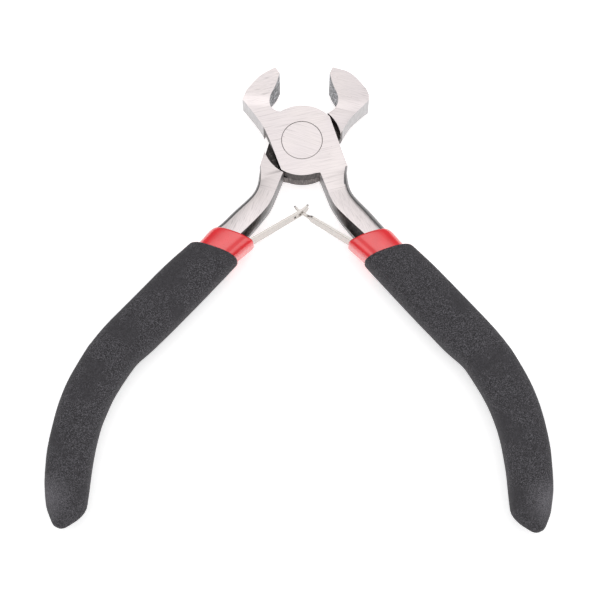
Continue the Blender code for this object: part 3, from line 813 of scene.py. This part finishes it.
def leaf_strip(side, settings, material):
    """One strip from its clamped foot to its hook."""
    path = strip_path()
    total = sum(math.dist(a, b) for a, b in zip(path, path[1:]))
    start = total - LEAF_SPAN
    hook = settings.hook / MM
    outline = strip_outline(start, total + hook, settings, SIDES[side]["forked"])
    half = settings.thickness / MM / 2
    data = bmesh.new()
    base = data.faces.new([data.verts.new((x, y, -half)) for x, y in outline])
    raised = bmesh.ops.extrude_face_region(data, geom=[base])["geom"]
    tops = [v for v in raised if isinstance(v, bmesh.types.BMVert)]
    bmesh.ops.translate(data, vec=(0, 0, 2 * half), verts=tops)
    # Cuts across the strip let it bend; they keep clear of its two ends.
    for x in levels(0.4, total + hook - 0.2, STRIP_CUTS):
        geometry = [*data.verts, *data.edges, *data.faces]
        bmesh.ops.bisect_plane(data, geom=geometry, dist=CUT_TOLERANCE,
                               plane_co=(x, 0, 0), plane_no=(1, 0, 0))
    bend_strip(data, path, hook, math.radians(HOOK_RISE))
    place = half_matrix(side)
    obj = finish_piece(f"{side}_leaf_strip", data, [material], place, STRIP_SHARP)
    add_bevel(obj, STRIP_EDGE, STRIP_SHARP)
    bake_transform(obj)
    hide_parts(f"{side}_leaf_spring", f"{side}_spring_foot")


class NIPPER_OT_springs(bpy.types.Operator):
    """Make the two leaf strips, forked on the left and tongued on the right"""

    bl_idname = "nipper.springs"
    bl_label = "Leaf strips"

    def execute(self, context):
        settings = context.scene.nipper_springs
        material = strip_finish(settings.strip)
        for side in SIDES:
            leaf_strip(side, settings, material)
        return {"FINISHED"}


def core_section(y, grow):
    """Upper half of the tang's section inside the sleeve, inner side to outer side."""
    half = interpolate(CORE_HALF_WIDTH, max(y, CORE_END_Y)) + grow
    x = centre_x(y)
    top = HALF_THICKNESS + grow
    rounds = []
    for a in quarter_turn(5):
        across = x + half - CORE_ROUND * (1 - math.sin(a))
        rounds.append((across, OUTER_ROUND_FOOT + (top - OUTER_ROUND_FOOT) * math.cos(a)))
    inner = [(x - half, 0.0), (x - half, PARTING_HALF), (x - half + CORE_FACET, top)]
    return [*inner, *rounds, (x + half, 0.0)]


def corner(y, radius):
    """How far a rounded corner of this radius at the rim draws the side in at a level."""
    past = min(RIM_Y - y, radius)
    return radius - math.sqrt(radius ** 2 - (radius - past) ** 2)


def skin_section(y, wall, inset=0.0):
    """Upper half of the sleeve's skin, inner side to outer side."""
    core = interpolate(CORE_HALF_WIDTH, max(y, CORE_END_Y))
    drawn_in = CORNER_SHARE * corner(y, INNER_CORNER)
    low = centre_x(y) - core - interpolate(SLEEVE_SPARE, y) + inset + drawn_in
    high = centre_x(y) + core + wall - inset - CORNER_SHARE * corner(y, OUTER_CORNER)
    depth = interpolate(SLEEVE_HALF_DEPTH, y) - inset
    return [(low + (high - low) * u, depth * h) for u, h in curve_through(SLEEVE_PROFILE, 3)]


def section_ring(points, y):
    """Whole ring at a level, from the upper half of a section."""
    upper = resample(points, SECTION_POINTS)
    lower = [(x, -z) for x, z in reversed(upper[1:-1])]
    return [(x, y, z) for x, z in [*upper, *lower]]


def sleeve(side, settings, material):
    """Skin from the bottom of its bore, up to the rounded rim, and down its outside to the closed end."""
    wall = settings.wall / MM
    rim = settings.rim / MM
    rings = [section_ring(core_section(y, SLEEVE_GAP), y) for y in all_levels(SLEEVE_BORE)]
    for drop, gap in BORE_MOUTH:
        rings.append(section_ring(core_section(RIM_Y - drop, gap), RIM_Y - drop))
    for a in quarter_turn(5):
        y = RIM_Y - rim * (1 - math.cos(a))
        rings.append(section_ring(skin_section(y, wall, rim * (1 - math.sin(a))), y))
    for y in all_levels(SLEEVE_SKIN):
        rings.append(section_ring(skin_section(y, wall), y))
    for past, inset in SLEEVE_CAP:
        rings.append(section_ring(skin_section(SLEEVE_END_Y - past, wall, inset), SLEEVE_END_Y - past))
    place = half_matrix(side)
    obj = finish_piece(f"{side}_sleeve_skin", loft(rings), [material], place, SOFT_SHARP)
    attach(obj, SIDES[side]["body"])
    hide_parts(f"{side}_sleeve")


class NIPPER_OT_sleeves(bpy.types.Operator):
    """Make the two glossy dipped sleeves, close round the steel at their rims"""

    bl_idname = "nipper.sleeves"
    bl_label = "Dipped sleeves"

    def execute(self, context):
        settings = context.scene.nipper_sleeves
        material = vinyl_finish(settings.skin)
        for side in SIDES:
            sleeve(side, settings, material)
        return {"FINISHED"}


def grip_ring(y, low, high, depth, inset=0.0, roundness=GRIP_ROUNDNESS):
    """Rounded oblong ring at a level, from its inner side to its outer side."""
    ring = []
    half = (high - low) / 2 - inset
    middle = (high + low) / 2
    for k in range(GRIP_STEPS):
        a = math.tau * k / GRIP_STEPS
        c = math.copysign(abs(math.cos(a)) ** (2 / roundness), math.cos(a))
        s = math.copysign(abs(math.sin(a)) ** (2 / roundness), math.sin(a))
        ring.append((middle - half * c, y, (depth - inset) * s))
    return ring


def grip(side, settings, material):
    """Grip from the bottom of its bore, round its lip, and down its outside to the chiselled end."""
    lip = settings.lip / MM
    swell = settings.swell / MM
    rings = []
    for y in all_levels(GRIP_BORE):
        section = skin_section(y, SLEEVE_WALL, -GRIP_GAP)
        depth = max(z for _, z in section)
        rings.append(grip_ring(y, section[0][0], section[-1][0], depth, roundness=BORE_ROUNDNESS))
    top_y, inner_x, outer_x, depth = GRIP_STATIONS[0]
    for a in quarter_turn(6):
        y = GRIP_Y - lip * (1 - math.cos(a))
        rise = (y - top_y) / (GRIP_Y - top_y)
        low = inner_x - LIP_FLARE[0] * rise
        high = outer_x - LIP_FLARE[1] * rise
        rings.append(grip_ring(y, low, high, depth, lip * (1 - math.sin(a))))
    for station in curve_through(GRIP_STATIONS, 6):
        past = clamp((END_START_Y - station[0]) / (END_START_Y - END_FULL_Y))
        rings.append(grip_ring(*station, roundness=GRIP_ROUNDNESS - END_RIDGE * past))
    data = loft(rings)
    seed = Vector((0.0, 0.0, SIDES[side]["seed"]))
    data.normal_update()
    for vertex in data.verts:
        lift = sum(share * noise.noise(vertex.co * waves + seed) for waves, share in SWELLS)
        vertex.co += vertex.normal * lift * swell
    place = half_matrix(side)
    obj = finish_piece(f"{side}_grip_skin", data, [material], place, SOFT_SHARP)
    smooth = obj.modifiers.new("smooth", "SUBSURF")
    smooth.levels = 1
    smooth.render_levels = 1
    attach(obj, SIDES[side]["body"])
    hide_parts(f"{side}_grip")


class NIPPER_OT_grips(bpy.types.Operator):
    """Make the two soft grips, with a rounded lip and a chiselled closed end"""

    bl_idname = "nipper.grips"
    bl_label = "Soft grips"

    def execute(self, context):
        settings = context.scene.nipper_grips
        for side in SIDES:
            x, y, z = WORN_AT
            worn_at = half_matrix(side) @ Vector((x, y, z * SIDES[side]["turn"]))
            material = foam_finish(f"grained_grip_{side}", settings.foam, settings.speck, worn_at)
            grip(side, settings, material)
        return {"FINISHED"}


# ---- stage ----
def add_floor(settings):
    """Pale floor just below the nipper."""
    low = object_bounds()[0]
    floor_z = low[2] - FLOOR_GAP
    data = bmesh.new()
    bmesh.ops.create_grid(data, x_segments=FLOOR_CELLS, y_segments=FLOOR_CELLS, size=FLOOR_HALF_SIZE)
    bmesh.ops.translate(data, vec=(0.0, 0.0, floor_z), verts=data.verts)
    mesh = bpy.data.meshes.new("floor")
    data.to_mesh(mesh)
    data.free()
    mesh.materials.append(floor_finish(settings.floor))
    floor = bpy.data.objects.new("floor", mesh)
    bpy.context.scene.collection.objects.link(floor)
    floor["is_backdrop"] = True


def add_lamp(name, place, size, energy):
    """Soft oblong lamp, turned towards the nipper."""
    light = bpy.data.lights.new(name, "AREA")
    light.shape = "RECTANGLE"
    light.size, light.size_y = size
    light.energy = energy
    lamp = bpy.data.objects.new(name, light)
    bpy.context.scene.collection.objects.link(lamp)
    direction = Vector(LAMP_AIM) - Vector(place)
    lamp.matrix_world = Matrix.Translation(place) @ direction.to_track_quat("-Z", "Y").to_matrix().to_4x4()


def add_sky():
    """Pale surroundings: bright overhead, with a darker band above the horizon."""
    world = bpy.data.worlds.new("studio")
    world.use_nodes = True
    tree = world.node_tree
    place = tree.nodes.new("ShaderNodeTexCoord")
    split = tree.nodes.new("ShaderNodeSeparateXYZ")
    tree.links.new(place.outputs["Generated"], split.inputs["Vector"])
    ramp = tree.nodes.new("ShaderNodeValToRGB")
    elements = ramp.color_ramp.elements
    while len(elements) < len(SKY_STOPS):
        elements.new(0.5)
    for element, (position, level) in zip(elements, SKY_STOPS):
        element.position = position
        element.color = (level, level, level, 1.0)
    tree.links.new(split.outputs["Z"], ramp.inputs["Fac"])
    background = tree.nodes["Background"]
    background.inputs["Strength"].default_value = SKY_STRENGTH
    tree.links.new(ramp.outputs["Color"], background.inputs["Color"])
    bpy.context.scene.world = world


def add_camera(settings):
    """Camera that looks down at the nipper from the grips' end."""
    camera = bpy.data.cameras.new("camera")
    camera.sensor_width = SENSOR_WIDTH
    camera.lens = LENS
    camera.clip_start = 0.01
    camera.clip_end = 10.0
    obj = bpy.data.objects.new("camera", camera)
    aim = Vector(CAMERA_AIM)
    back = Vector((0.0, -math.sin(settings.tilt), math.cos(settings.tilt)))
    turn = Matrix.Rotation(settings.tilt, 4, "X") @ Matrix.Rotation(settings.roll, 4, "Z")
    obj.matrix_world = Matrix.Translation(aim + back * settings.distance) @ turn
    bpy.context.scene.collection.objects.link(obj)
    bpy.context.scene.camera = obj


class NIPPER_OT_stage(bpy.types.Operator):
    """Set the pale floor, the soft light and the camera"""

    bl_idname = "nipper.stage"
    bl_label = "Stage"

    def execute(self, context):
        settings = context.scene.nipper_stage
        add_floor(settings)
        add_sky()
        for lamp in LAMPS:
            add_lamp(*lamp)
        add_camera(settings)
        context.scene.view_settings.view_transform = "Standard"
        return {"FINISHED"}


# ---- add-on ----
class NIPPER_PT_panel(bpy.types.Panel):
    """Lists the operators that make the nipper"""

    bl_idname = "NIPPER_PT_panel"
    bl_label = "End Nipper"
    bl_space_type = "VIEW_3D"
    bl_region_type = "UI"
    bl_category = "Nipper"

    def draw(self, context):
        for group, operator in PARTS:
            box = self.layout.box()
            box.operator(operator.bl_idname)
            settings = getattr(context.scene, group)
            for name in type(settings).__annotations__:
                box.prop(settings, name)


PARTS = [
    ("nipper_steel", NIPPER_OT_halves),
    ("nipper_steel", NIPPER_OT_rivets),
    ("nipper_springs", NIPPER_OT_springs),
    ("nipper_sleeves", NIPPER_OT_sleeves),
    ("nipper_grips", NIPPER_OT_grips),
    ("nipper_stage", NIPPER_OT_stage),
]
GROUPS = {
    "nipper_steel": NipperSteel,
    "nipper_springs": NipperSprings,
    "nipper_sleeves": NipperSleeves,
    "nipper_grips": NipperGrips,
    "nipper_stage": NipperStage,
}
CLASSES = [*GROUPS.values(), *(operator for _, operator in PARTS), NIPPER_PT_panel]


def register():
    """Register the classes and give the scene its settings."""
    for cls in CLASSES:
        bpy.utils.register_class(cls)
    for name, group in GROUPS.items():
        setattr(bpy.types.Scene, name, PointerProperty(type=group))


def unregister():
    """Undo what register did."""
    for name in GROUPS:
        delattr(bpy.types.Scene, name)
    for cls in reversed(CLASSES):
        bpy.utils.unregister_class(cls)


def main():
    """Make every piece and the stage."""
    register()
    bpy.ops.nipper.halves()
    bpy.ops.nipper.rivets()
    bpy.ops.nipper.springs()
    bpy.ops.nipper.sleeves()
    bpy.ops.nipper.grips()
    bpy.ops.nipper.stage()


if __name__ == "__main__":
    main()
